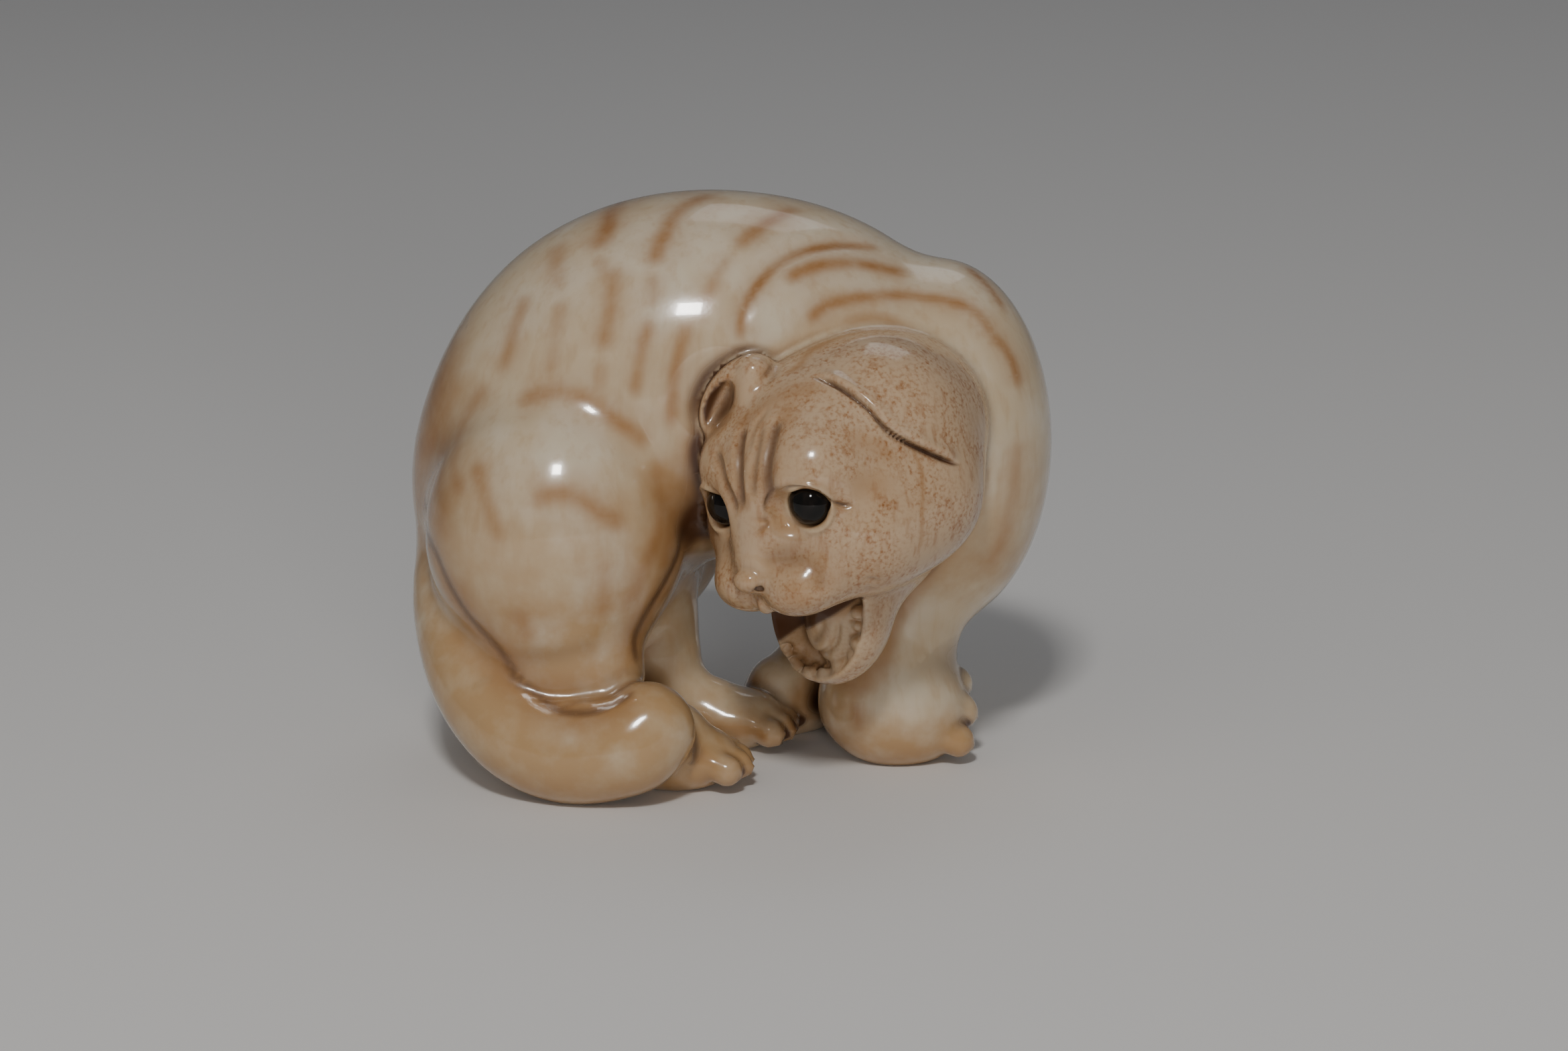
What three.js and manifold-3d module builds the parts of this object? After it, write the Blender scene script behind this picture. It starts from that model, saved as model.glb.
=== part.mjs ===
// A carved netsuke: a tiger with its back arched high and its four feet drawn together, the head
// hung low and turned back along its side with the jaws open, and the tail brought round the
// hind foot to the front. It is one block of ivory, polished all over, with a black horn eye let
// into each socket. The way through under the belly, between the hind feet and the forefeet,
// takes the carrying cord.
// Millimetres, +Z up. The tiger faces +X, and its head looks out towards -Y.
import * as THREE from 'three';
import { mergeVertices } from 'three/addons/utils/BufferGeometryUtils.js';
import Module from 'manifold-3d';

// ---------------------------------------------------------------- driving dimensions
const STAND = [0.035, -1.3, 0.5];                      // this place in the carving stands at the origin
const HEAD = { at: [6.3, -8.2, 22.45], yaw: 40, pitch: 20, roll: 6 };
const EYE_RADIUS = 1.42;
const EYE_DEPTH = 1.5;                               // how far the eye's plug goes in
const EYE_GAP = 0.1;                                 // clear space round each eye in its socket
const EYES = { left: [3.6, 6.2, 0.15], right: [-3.4, 6.3, -0.35] };   // in the head's own axes
const SEAM = 0.02;                                   // slivers thinner than this are closed along a joint
const STEP = { head: 0.87, paw: 0.85, tail: 1.5, body: 2.05 };   // size of a facet on each
const PROBE = 0.02;                                  // how far off a form's slope is felt
const SETTLING = 4;                                  // passes that bring a point onto a form
const CELL_MARGIN = 0.05;                            // a facet's corner keeps this share of its cell clear

// balls strung along the spine and along the tail: x, y, z, radius; and the samples taken of each
const SPINE = [
  [-11.3, 3, 14, 9.2], [-10.2, 2.5, 19.2, 10.6], [-6, 2, 24, 11.9],
  [0, 2, 25.3, 11.9], [6, 3, 24, 10.6], [11, 3, 18, 8.5],
];
const SPINE_SAMPLES = 16;
const SPINE_FLATTEN = 1.12;                          // the trunk is this much deeper than wide
const TAIL = [
  [-16.6, 5, 17, 2.2], [-18.1, -0.2, 12.6, 2.6], [-16.8, -5.8, 8.2, 3], [-14, -9.5, 5, 3.2],
  [-10.4, -11, 3.7, 3.4], [-6.6, -11.9, 4.3, 3.3], [-5.2, -11.7, 5.2, 3.1],
];
const TAIL_SAMPLES = 24;
// the free edge of the near ear, folded back over the head: height, and how far forward it lies
const EAR_EDGE = [[-3, -3.2], [-1.8, -2], [0.9, 0.2], [2.7, 1.1], [4.4, 1.55], [6, 1.6], [7.5, 1.4]];

// ---------------------------------------------------------------- forms
// A form is a function that gives a point's distance from a surface: below zero inside it.

function turned(axis, degrees) {
  const angle = THREE.MathUtils.degToRad(degrees);
  return new THREE.Matrix4()[`makeRotation${axis}`](angle);
}

// a form made in axes of its own, set down at a place
function placed(form, at, turn) {
  const toLocal = turn.clone().setPosition(...at).invert();
  const local = new THREE.Vector3();
  return (p) => form(local.copy(p).applyMatrix4(toLocal));
}

function egg(at, radii, turn = null) {
  const [x, y, z] = turn ? [0, 0, 0] : at;
  const [a, b, c] = radii;
  const form = (p) => {
    const u = (p.x - x) / a;
    const v = (p.y - y) / b;
    const w = (p.z - z) / c;
    const k = Math.hypot(u, v, w);
    return k * (k - 1) / (Math.hypot(u / a, v / b, w / c) + 1e-6);
  };
  return turn ? placed(form, at, turn) : form;
}

// a limb tapering from one ball to another
function limb(from, to, startRadius, endRadius) {
  const start = new THREE.Vector3(...from);
  const along = new THREE.Vector3(...to).sub(start);
  const length2 = along.lengthSq();
  const offset = new THREE.Vector3();
  return (p) => {
    offset.copy(p).sub(start);
    const h = THREE.MathUtils.clamp(offset.dot(along) / length2, 0, 1);
    return offset.addScaledVector(along, -h).length() - (startRadius + (endRadius - startRadius) * h);
  };
}

// balls strung on a smooth curve and faired into one another
function strung(balls, samples) {
  const ends = [0, 1].map((i) => balls.at(-i).map((v, k) => 2 * v - balls.at(i ? -2 : 1)[k]));
  const knots = [ends[0], ...balls, ends[1]];
  const ball = (t) => {
    const i = Math.min(Math.floor(t), balls.length - 2);
    const u = t - i;
    const [p0, p1, p2, p3] = knots.slice(i, i + 4);
    return p1.map((v, k) => 0.5 * (2 * v + (p2[k] - p0[k]) * u
      + (2 * p0[k] - 5 * v + 4 * p2[k] - p3[k]) * u * u + (3 * v - p0[k] - 3 * p2[k] + p3[k]) * u ** 3));
  };
  const step = (balls.length - 1) / samples;
  const string = Array.from({ length: samples + 1 }, (_, i) => ball(i * step));
  const distance = (p, [x, y, z, r]) => Math.hypot(p.x - x, p.y - y, p.z - z) - r;
  return (p) => {
    const d = string.map((b) => distance(p, b));
    const i = THREE.MathUtils.clamp(d.indexOf(Math.min(...d)), 1, samples - 1);
    const bend = Math.max(d[i + 1] - 2 * d[i] + d[i - 1], 1e-5);
    const shift = THREE.MathUtils.clamp((d[i - 1] - d[i + 1]) / (2 * bend), -1, 1);
    return distance(p, ball(THREE.MathUtils.clamp((i + shift) * step, 0, balls.length - 1)));
  };
}

// the same form on both sides of the head
function bothSides(form) {
  const folded = new THREE.Vector3();
  return (p) => form(folded.set(Math.abs(p.x), p.y, p.z));
}

// two distances joined, with a fillet of about the given width
function faired(a, b, soft) {
  const h = Math.max(soft - Math.abs(a - b), 0) / soft;
  return Math.min(a, b) - h * h * soft / 4;
}

function join(soft, ...forms) {
  return (p) => forms.reduce((d, form) => faired(d, form(p), soft), Infinity);
}

function cut(soft, form, tool) {
  return (p) => -faired(-form(p), tool(p), soft);
}

// ---------------------------------------------------------------- head
// It is carved in axes of its own: +X to the tiger's left, +Y forward along the nose, +Z up.

function headAxes() {
  const [yaw, pitch, roll] = [HEAD.yaw, HEAD.pitch, HEAD.roll].map(THREE.MathUtils.degToRad);
  const level = new THREE.Vector3(Math.cos(yaw), -Math.sin(yaw), 0);
  const forward = new THREE.Vector3(
    -Math.sin(yaw) * Math.cos(pitch), -Math.cos(yaw) * Math.cos(pitch), -Math.sin(pitch));
  const upright = forward.clone().cross(level);
  const left = level.clone().multiplyScalar(Math.cos(roll)).addScaledVector(upright, Math.sin(roll));
  const up = upright.multiplyScalar(Math.cos(roll)).addScaledVector(level, -Math.sin(roll));
  return new THREE.Matrix4().makeBasis(left, forward, up);
}

// the near ear is a flap laid back over the head, and its free edge stands a little proud
function earFlap() {
  const dome = egg([2.1, -2.4, 0.1], [6.2, 6.3, 6.25]);
  const edge = (z) => {
    const i = THREE.MathUtils.clamp(EAR_EDGE.findIndex(([height]) => height > z), 1, EAR_EDGE.length - 1);
    const [[z0, y0], [z1, y1]] = EAR_EDGE.slice(i - 1, i + 1);
    return y0 + (y1 - y0) * THREE.MathUtils.clamp((z - z0) / (z1 - z0), 0, 1);
  };
  return (p) => Math.max(dome(p), p.y - edge(p.z));
}

// bridge of the nose, whisker pads, nose and the middle of the upper lip
function muzzle() {
  const bridge = limb([0, 5.6, 0.9], [0, 8.1, -2.9], 2.5, 1.9);
  const root = egg([0, 5.2, -1.4], [3.4, 3.4, 3.6]);
  const pads = bothSides(egg([1.9, 7.1, -4.8], [2.9, 3.1, 2.2]));
  return join(1.0, join(1.2, bridge, root), pads);
}

// the lower jaw hangs wide open, and the mouth is hollowed out above the tongue
function openMouth(skull) {
  const gape = turned('X', 32);
  const jaw = join(2, egg([-1, 2.9, -9.4], [4.5, 3.3, 5.3], gape), egg([0, -1, -6.5], [5, 4.5, 4.5]));
  const hollow = egg([-0.95, 5.9, -8.5], [4.3, 3.4, 5.1], gape);
  const palate = (p) => p.z + 6.2 - 0.05 * p.x * p.x;
  const tongue = egg([-0.3, 3.5, -9.4], [2.3, 1.6, 3.4], gape);
  const mouth = (p) => Math.max(hollow(p), palate(p));
  return join(0.2, cut(0.3, join(1.2, skull, jaw), mouth), tongue);
}

function head() {
  let form = join(2, egg([0, -0.4, 0.2], [7, 8.2, 6.3]), egg([1.2, -3.8, -0.8], [6.6, 7.4, 6.4]));
  const cheeks = bothSides(egg([3.6, 1.8, -3.4], [4.6, 5.6, 4.8]));
  const nearJowl = egg([4.4, -1.6, -3.6], [4.4, 4.6, 4.6]);
  const brows = bothSides(egg([2.9, 4.6, 1.6], [2.6, 2.6, 2.4]));
  form = join(2, form, cheeks);
  form = join(1.8, form, nearJowl, brows);
  form = join(0.15, form, earFlap());
  form = join(1.8, form, muzzle());
  form = openMouth(form);
  const nose = egg([0, 9.5, -3.7], [1.3, 0.9, 0.85]);
  const lip = egg([0, 9.2, -5.5], [0.7, 0.7, 0.8]);
  form = join(0.4, form, nose, lip);
  Object.values(EYES).forEach(([x, y, z]) => {
    form = cut(0.5, form, egg([x, y + 1.8, z], [1.8, 1.6, 1.5]));
  });
  return form;
}

// the far ear stands up against the flank: a cup with a rolled front edge
function farEar() {
  const shell = egg([0.7, -8.7, 26], [2.1, 1.5, 3.2], turned('Y', 38));
  const cup = egg([-0.7, -10.5, 25.7], [1, 1.6, 2.1], turned('Y', 25));
  const roll = limb([1.6, -9.3, 27.7], [1.3, -10.2, 25.4], 1.15, 0.9);
  return join(0.3, cut(0.2, shell, cup), roll);
}

// ---------------------------------------------------------------- body

function trunk() {
  const spine = strung(SPINE, SPINE_SAMPLES);
  const middle = SPINE[2][1];
  const flat = new THREE.Vector3();
  const barrel = (p) => spine(flat.set(p.x, middle + (p.y - middle) * SPINE_FLATTEN, p.z));
  const farThigh = egg([-9, 8, 15], [9, 6, 9.5]);
  const farShoulder = egg([11.5, 8, 19], [7, 6, 11]);
  const nearThigh = join(2, egg([-11, -4.4, 16.8], [8.5, 8.4, 9.6], turned('Y', 14)),
    limb([-10.6, -5.2, 14], [-10.7, -6.4, 10.2], 6.2, 5));
  const nearShoulder = join(2.5, egg([13.5, 1.6, 20.8], [7.5, 8.4, 12.1]),
    egg([7.2, 1, 24.1], [8.6, 8.2, 9]));
  let form = join(1.8, barrel, farThigh, farShoulder);
  form = join(1.6, form, nearThigh);
  form = join(1.4, form, nearShoulder);
  const behindEar = egg([-0.4, -11.2, 26.4], [4, 3.2, 4.6]);
  return cut(1.2, form, behindEar);
}

function legs() {
  const nearHind = join(1.2, limb([-11.8, -7.5, 7.8], [-8.5, -8, 7.9], 3.4, 3.1),
    limb([-12.4, -7, 4], [-4, -8, 3.2], 3.5, 2.9));
  const farHind = join(1.5, limb([-7.7, 5, 15], [-5.6, 1.8, 6.6], 5.3, 3.6),
    limb([-7, 2, 3.6], [-1.6, 1, 2.6], 3.3, 2.5));
  const nearFore = join(3, limb([12.1, 0.5, 12], [10.1, -1.2, 6.2], 4.4, 3.5),
    egg([10.8, -1.6, 3.6], [4.8, 4, 3.5]));
  const farFore = join(1.2, limb([11, 8, 14], [7, 6.5, 5], 5.2, 3.4),
    limb([7, 6.5, 4], [3.6, 4.8, 2.8], 3.4, 2.8));
  return [nearHind, farHind, nearFore, farFore];
}

// a paw: a flattened ball with four toes fanned out in front of it
function paw({ at, heading, size, lift }) {
  const ball = egg(at, [size * 1.25, size, size * 0.72], turned('Z', heading));
  const turn = turned('Z', heading).setPosition(...at);
  const place = (...local) => new THREE.Vector3(...local).applyMatrix4(turn).toArray();
  const toes = [-1, -1 / 3, 1 / 3, 1].map((across) => {
    const reach = size * (1.2 - 0.22 * across * across);
    const rise = lift * (across + 1) / 2;
    const knuckle = place(reach - size * 0.8, across * size * 0.5, rise + size * 0.18);
    const tip = place(reach, across * size * 0.72, rise - size * 0.12);
    return limb(knuckle, tip, size * 0.27, size * 0.33);
  });
  return join(0.35, ball, ...toes);
}

const PAWS = [
  { at: [-3.1, -8, 2.4], heading: 0, size: 3, lift: 0 },
  { at: [0, 1, 2.3], heading: -8, size: 2.9, lift: 0 },
  { at: [11.2, -2, 2.5], heading: 12, size: 3.3, lift: 4.4 },
  { at: [4, 4.6, 2.3], heading: 205, size: 2.8, lift: 0 },
];

function body() {
  const [nearHind, ...others] = legs();
  return join(0.8, join(0.9, trunk(), nearHind), ...others);
}

// ---------------------------------------------------------------- from forms to solids

const CORNERS = [0, 1, 2, 3, 4, 5, 6, 7].map((i) => [i & 1, (i >> 1) & 1, i >> 2]);

// moves a point onto a form's surface along the slope of its distance
function settle(point, form, reach) {
  const start = point.clone();
  const probe = new THREE.Vector3();
  const slope = new THREE.Vector3();
  for (let pass = 0; pass < SETTLING; pass += 1) {
    ['x', 'y', 'z'].forEach((axis) => {
      const near = form(probe.copy(point).setComponent('xyz'.indexOf(axis), point[axis] - PROBE));
      const far = form(probe.copy(point).setComponent('xyz'.indexOf(axis), point[axis] + PROBE));
      slope[axis] = (far - near) / (2 * PROBE);
    });
    point.addScaledVector(slope, -form(point) / Math.max(slope.lengthSq(), 0.1));
    point.sub(start).clampLength(0, reach).add(start);
  }
  return point;
}

// Where two solid corners of a grid square meet only across its diagonal, the surface would touch
// itself along a line, so one of the open corners is filled. Gives true when it filled any.
function fillPinches(values, stride) {
  let filled = false;
  for (let here = 0; here < values.length - stride[2] - stride[1] - 1; here += 1) {
    [[0, 1], [1, 2], [2, 0]].forEach(([u, v]) => {
      const square = [here, here + stride[u], here + stride[u] + stride[v], here + stride[v]];
      const solid = square.map((i) => values[i] < 0);
      if (solid[0] === solid[1] || solid[0] !== solid[2] || solid[1] !== solid[3]) return;
      const open = square.filter((i) => values[i] >= 0);
      values[values[open[0]] < values[open[1]] ? open[0] : open[1]] = -1e-3;
      filled = true;
    });
  }
  return filled;
}

// the closed surface of a form inside a box: one vertex in each cell of a grid that the surface
// passes through, settled on the form, and two triangles for each grid edge that it crosses
function skin(form, low, high, step) {
  const count = high.map((v, k) => Math.ceil((v - low[k]) / step) + 1);
  const stride = [1, count[0], count[0] * count[1]];
  const corner = (i, j, k) => new THREE.Vector3(low[0] + i * step, low[1] + j * step, low[2] + k * step);
  const values = [];
  for (let k = 0; k < count[2]; k += 1) {
    for (let j = 0; j < count[1]; j += 1) {
      for (let i = 0; i < count[0]; i += 1) values.push(form(corner(i, j, k)));
    }
  }
  while (fillPinches(values, stride));
  const vertexOf = new Map();
  const positions = [];
  const index = [];
  const vertexIn = (i, j, k) => {
    const cell = i * stride[0] + j * stride[1] + k * stride[2];
    if (!vertexOf.has(cell)) {
      const crossings = [];
      CORNERS.forEach((a) => [0, 1, 2].filter((axis) => a[axis] === 0).forEach((axis) => {
        const here = cell + a[0] * stride[0] + a[1] * stride[1] + a[2] * stride[2];
        const [v0, v1] = [values[here], values[here + stride[axis]]];
        if (v0 < 0 === v1 < 0) return;
        const place = corner(i + a[0], j + a[1], k + a[2]);
        crossings.push(place.setComponent(axis, place.getComponent(axis) + step * v0 / (v0 - v1)));
      }));
      const middle = new THREE.Vector3();
      crossings.forEach((c) => middle.addScaledVector(c, 1 / crossings.length));
      const inner = corner(...[i, j, k].map((n) => n + CELL_MARGIN));
      const outer = corner(...[i, j, k].map((n) => n + 1 - CELL_MARGIN));
      vertexOf.set(cell, positions.length / 3);
      positions.push(...settle(middle, form, step).clamp(inner, outer));
    }
    return vertexOf.get(cell);
  };
  const apart = (a, b) => Math.hypot(...[0, 1, 2].map((k) => positions[3 * a + k] - positions[3 * b + k]));
  for (let k = 1; k < count[2] - 1; k += 1) {
    for (let j = 1; j < count[1] - 1; j += 1) {
      for (let i = 1; i < count[0] - 1; i += 1) {
        const here = i * stride[0] + j * stride[1] + k * stride[2];
        [0, 1, 2].forEach((axis) => {
          const inside = values[here] < 0;
          if (inside === values[here + stride[axis]] < 0) return;
          const [u, v] = [1, 2].map((n) => [0, 1, 2].map((c) => Number(c === (axis + n) % 3)));
          const ring = [[0, 0], [1, 0], [1, 1], [0, 1]].map(([m, n]) =>
            vertexIn(i - m * u[0] - n * v[0], j - m * u[1] - n * v[1], k - m * u[2] - n * v[2]));
          const [a, b, c, d] = inside ? ring : ring.reverse();
          if (apart(a, c) < apart(b, d)) index.push(a, b, c, a, c, d);
          else index.push(b, c, d, b, d, a);
        });
      }
    }
  }
  const geometry = new THREE.BufferGeometry();
  geometry.setAttribute('position', new THREE.Float32BufferAttribute(positions, 3));
  return geometry.setIndex(index);
}

const wasm = await Module();
wasm.setup();

function solid(geometry) {
  const vertProperties = new Float32Array(geometry.attributes.position.array);
  const triVerts = new Uint32Array(geometry.index.array);
  return new wasm.Manifold(new wasm.Mesh({ numProp: 3, vertProperties, triVerts }));
}

function bare(geometry) {
  geometry.deleteAttribute('normal');
  geometry.deleteAttribute('uv');
  return mergeVertices(geometry, 1e-5);
}

function shape(cutSolid) {
  const { vertProperties, triVerts } = cutSolid.getMesh();
  const geometry = new THREE.BufferGeometry();
  geometry.setAttribute('position', new THREE.BufferAttribute(vertProperties, 3));
  return geometry.setIndex(new THREE.BufferAttribute(triVerts, 1));
}

// an eye is a domed plug: the dome shows and the plug is let into the head
function eyePlug(radius, depth) {
  const dome = Array.from({ length: 6 }, (_, i) => {
    const angle = i * Math.PI / 10;
    return new THREE.Vector2(radius * Math.cos(angle), radius * Math.sin(angle));
  });
  dome.at(-1).x = 0;
  const profile = [new THREE.Vector2(0, -depth), new THREE.Vector2(radius * 0.9, -depth), ...dome];
  return bare(new THREE.LatheGeometry(profile, 16));
}

function setEye(object, [x, y, z]) {
  const axes = headAxes();
  const outward = new THREE.Vector3(Math.sign(x) * 0.42, 0.9, 0.1).transformDirection(axes);
  object.position.set(x, y, z).applyMatrix4(axes).add(new THREE.Vector3(...HEAD.at));
  object.quaternion.setFromUnitVectors(new THREE.Vector3(0, 1, 0), outward);
  object.updateMatrix();
  return object;
}

function carveTiger() {
  const headForm = join(0.5, placed(head(), HEAD.at, headAxes()), farEar());
  let block = solid(skin(body(), [-23, -17, -3], [23.5, 18, 40], STEP.body));
  block = block.add(solid(skin(headForm, [-5, -20, 6], [18, 3, 33], STEP.head)));
  block = block.add(solid(skin(strung(TAIL, TAIL_SAMPLES), [-24, -18, -2], [0, 10, 22], STEP.tail)));
  PAWS.forEach((one) => {
    const reach = one.size * 2;
    const low = one.at.map((v) => v - reach);
    const high = one.at.map((v) => v + reach);
    block = block.add(solid(skin(paw(one), low, high, STEP.paw)));
  });
  const ground = new THREE.BoxGeometry(80, 80, 10).translate(0, 0, STAND[2] - 5);
  block = block.subtract(solid(bare(ground)));
  Object.values(EYES).forEach((at) => {
    const socket = setEye(new THREE.Mesh(eyePlug(EYE_RADIUS + EYE_GAP, EYE_DEPTH + EYE_GAP)), at);
    block = block.subtract(solid(socket.geometry.applyMatrix4(socket.matrix)));
  });
  return shape(block.setTolerance(SEAM));
}

// ---------------------------------------------------------------- the netsuke

const ivory = new THREE.MeshStandardMaterial({ color: 0xcdb08c, roughness: 0.25, metalness: 0 });
const horn = new THREE.MeshStandardMaterial({ color: 0x0c0a09, roughness: 0.08, metalness: 0 });

const netsuke = new THREE.Group();
const tiger = new THREE.Mesh(carveTiger(), ivory);
tiger.name = 'tiger';
netsuke.add(tiger);
Object.entries(EYES).forEach(([side, at]) => {
  const eye = setEye(new THREE.Mesh(eyePlug(EYE_RADIUS, EYE_DEPTH), horn), at);
  eye.name = `eye_${side}`;
  netsuke.add(eye);
});
netsuke.position.set(...STAND).negate();

export default netsuke;
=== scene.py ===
import math

import bpy
import numpy as np
from mathutils import Matrix, Vector


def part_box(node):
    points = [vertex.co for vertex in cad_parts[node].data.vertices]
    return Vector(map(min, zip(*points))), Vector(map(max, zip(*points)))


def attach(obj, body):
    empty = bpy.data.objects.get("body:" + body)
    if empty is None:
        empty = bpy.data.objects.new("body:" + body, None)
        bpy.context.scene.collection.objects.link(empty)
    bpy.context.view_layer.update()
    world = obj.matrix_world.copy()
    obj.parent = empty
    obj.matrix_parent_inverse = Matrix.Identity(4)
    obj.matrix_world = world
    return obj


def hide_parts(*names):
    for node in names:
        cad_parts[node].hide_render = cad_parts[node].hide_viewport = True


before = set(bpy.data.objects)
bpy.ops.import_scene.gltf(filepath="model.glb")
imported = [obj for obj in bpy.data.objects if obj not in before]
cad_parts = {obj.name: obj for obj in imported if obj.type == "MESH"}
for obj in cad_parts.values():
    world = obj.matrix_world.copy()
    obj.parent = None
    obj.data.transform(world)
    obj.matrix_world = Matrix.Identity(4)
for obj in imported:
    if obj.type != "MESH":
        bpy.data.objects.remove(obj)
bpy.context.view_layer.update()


# ================================================================ camera, floor and light
# The netsuke stands alone on a plain pale table top in a dim pale room, seen from a little above
# its near side. A soft box high in front lights it, with weaker ones on the left, low in front
# and high behind.

LOOK_AT = Vector((0.00345, -0.0007, 0.0156))
CAMERA_DISTANCE = 0.28
CAMERA_ELEVATION = math.radians(14)
VIEW_WIDTH = 0.1013                       # m across the view at the netsuke
FLOOR_SIZE = 1.2
FLOOR_COLOUR = (0.78, 0.77, 0.76, 1)
FLOOR_ROUGHNESS = 0.75
ROOM_COLOUR = (0.60, 0.61, 0.63, 1)
ROOM_STRENGTH = 0.20

camera_data = bpy.data.cameras.new("camera")
camera_data.sensor_width = 36
camera_data.lens = 36 * CAMERA_DISTANCE / VIEW_WIDTH
camera_data.clip_start = 0.01
camera = bpy.data.objects.new("camera", camera_data)
bpy.context.collection.objects.link(camera)
camera.location = LOOK_AT + CAMERA_DISTANCE * Vector(
    (0, -math.cos(CAMERA_ELEVATION), math.sin(CAMERA_ELEVATION)))
camera.rotation_euler = (LOOK_AT - camera.location).to_track_quat("-Z", "Y").to_euler()
bpy.context.scene.camera = camera


def soft_box(name, azimuth, elevation, distance, size, watts, colour, mirrored=True):
    """A square light that faces the netsuke; azimuth 0 is in front of it and 90 on its right.
    The polish mirrors the light unless mirrored is False."""
    data = bpy.data.lights.new(name, "AREA")
    data.size = size
    data.energy = watts
    data.color = colour
    lamp = bpy.data.objects.new(name, data)
    bpy.context.collection.objects.link(lamp)
    az, el = math.radians(azimuth), math.radians(elevation)
    away = Vector((math.sin(az) * math.cos(el), -math.cos(az) * math.cos(el), math.sin(el)))
    lamp.location = LOOK_AT + distance * away
    lamp.rotation_euler = (-away).to_track_quat("-Z", "Y").to_euler()
    lamp.visible_glossy = mirrored


soft_box("key_light", -6, 46, 0.5, 0.06, 1.05, (1.0, 0.98, 0.95))
soft_box("left_light", -40, 40, 0.6, 0.35, 0.18, (1.0, 0.97, 0.93), False)
soft_box("front_light", 9, 8, 0.5, 0.1, 0.65, (1.0, 0.98, 0.95), False)
soft_box("back_light", 165, 55, 0.7, 0.3, 0.25, (0.95, 0.97, 1.0))

world = bpy.data.worlds.new("pale_room")
world.use_nodes = True
background = world.node_tree.nodes["Background"]
background.inputs["Color"].default_value = ROOM_COLOUR
background.inputs["Strength"].default_value = ROOM_STRENGTH
bpy.context.scene.world = world

bpy.ops.object.select_all(action="DESELECT")
bpy.ops.mesh.primitive_plane_add(size=FLOOR_SIZE)
floor = bpy.context.object
floor.name = "floor"
floor_material = bpy.data.materials.new("pale_table_top")
floor_material.use_nodes = True
floor_shader = floor_material.node_tree.nodes["Principled BSDF"]
floor_shader.inputs["Base Color"].default_value = FLOOR_COLOUR
floor_shader.inputs["Roughness"].default_value = FLOOR_ROUGHNESS
floor.data.materials.append(floor_material)


# ================================================================ the carved tiger
# One block of ivory, sawn and then cut down with chisels, scrapers and small drills. The forms
# are those of the frame's solid, here with their fillets and with the fine cuts: lids, furrows
# of the brow, the folded ear's slit, tongue and teeth, toes, and the folds of the scruff.

MM = 0.001
STAND = np.float32((0.035, -1.3, 0.5))    # this place in the carving, in mm, stands at the origin
SKIN_STEP = 0.45                          # mm between the points of the carved skin
HEAD_AT = (6.3, -8.2, 22.45)
HEAD_YAW, HEAD_PITCH, HEAD_ROLL = (math.radians(a) for a in (40, 20, 6))
EYES = {"left": (3.6, 6.2, 0.15), "right": (-3.4, 6.3, -0.35)}   # in the head's own axes
EYE_RADIUS = 1.42
SPINE = ((-11.3, 3, 14, 9.2), (-10.2, 2.5, 19.2, 10.6), (-6, 2, 24, 11.9),
         (0, 2, 25.3, 11.9), (6, 3, 24, 10.6), (11, 3, 18, 8.5))
SPINE_FLATTEN = 1.12
TAIL = ((-16.6, 5, 17, 2.2), (-18.1, -0.2, 12.6, 2.6), (-16.8, -5.8, 8.2, 3), (-14, -9.5, 5, 3.2),
        (-10.4, -11, 3.7, 3.4), (-6.6, -11.9, 4.3, 3.3), (-5.2, -11.7, 5.2, 3.1))
EAR_DOME = (2.1, -2.4, 0.1), (6.2, 6.3, 6.25)
EAR_EDGE = ((-3, -3.2), (-1.8, -2), (0.9, 0.2), (2.7, 1.1), (4.4, 1.55), (6, 1.6), (7.5, 1.4))
GAPE = 32                                 # degrees that the lower jaw hangs down
PAWS = ({"at": (-3.1, -8, 2.4), "heading": 0, "size": 3, "lift": 0},
        {"at": (0, 1, 2.3), "heading": -8, "size": 2.9, "lift": 0},
        {"at": (11.2, -2, 2.5), "heading": 12, "size": 3.3, "lift": 4.4},
        {"at": (4, 4.6, 2.3), "heading": 205, "size": 2.8, "lift": 0})


# A form is a function that gives each point's distance from a surface: below zero inside it.

def turned(axis, degrees):
    return np.array(Matrix.Rotation(math.radians(degrees), 3, axis), np.float32)


def egg(at, radii, turn=None):
    at, radii = np.float32(at), np.float32(radii)

    def form(p):
        q = p - at
        if turn is not None:
            q = q @ turn
        q = q / radii
        k = np.sqrt((q * q).sum(1))
        q = q / radii
        return k * (k - 1) / (np.sqrt((q * q).sum(1)) + 1e-6)
    return form


def limb(start, end, start_radius, end_radius):
    start = np.float32(start)
    along = np.float32(end) - start

    def form(p):
        q = p - start
        h = np.clip(q @ along / (along @ along), 0, 1)
        q = q - h[:, None] * along
        return np.sqrt((q * q).sum(1)) - (start_radius + (end_radius - start_radius) * h)
    return form


def smooth_curve(knots):
    """A curve through the knots, as a function of 0, 1, 2 and so on at each of them."""
    knots = np.float32(knots)
    ends = 2 * knots[0] - knots[1], 2 * knots[-1] - knots[-2]
    padded = np.vstack([ends[0], knots, ends[1]])

    def at(t):
        i = np.clip(t.astype(int), 0, len(knots) - 2)
        u = (t - i)[:, None].astype(np.float32)
        a, b, c, d = (padded[i + n] for n in range(4))
        return 0.5 * (2 * b + (c - a) * u + (2 * a - 5 * b + 4 * c - d) * u ** 2
                      + (3 * b - a - 3 * c + d) * u ** 3)
    return at


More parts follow.
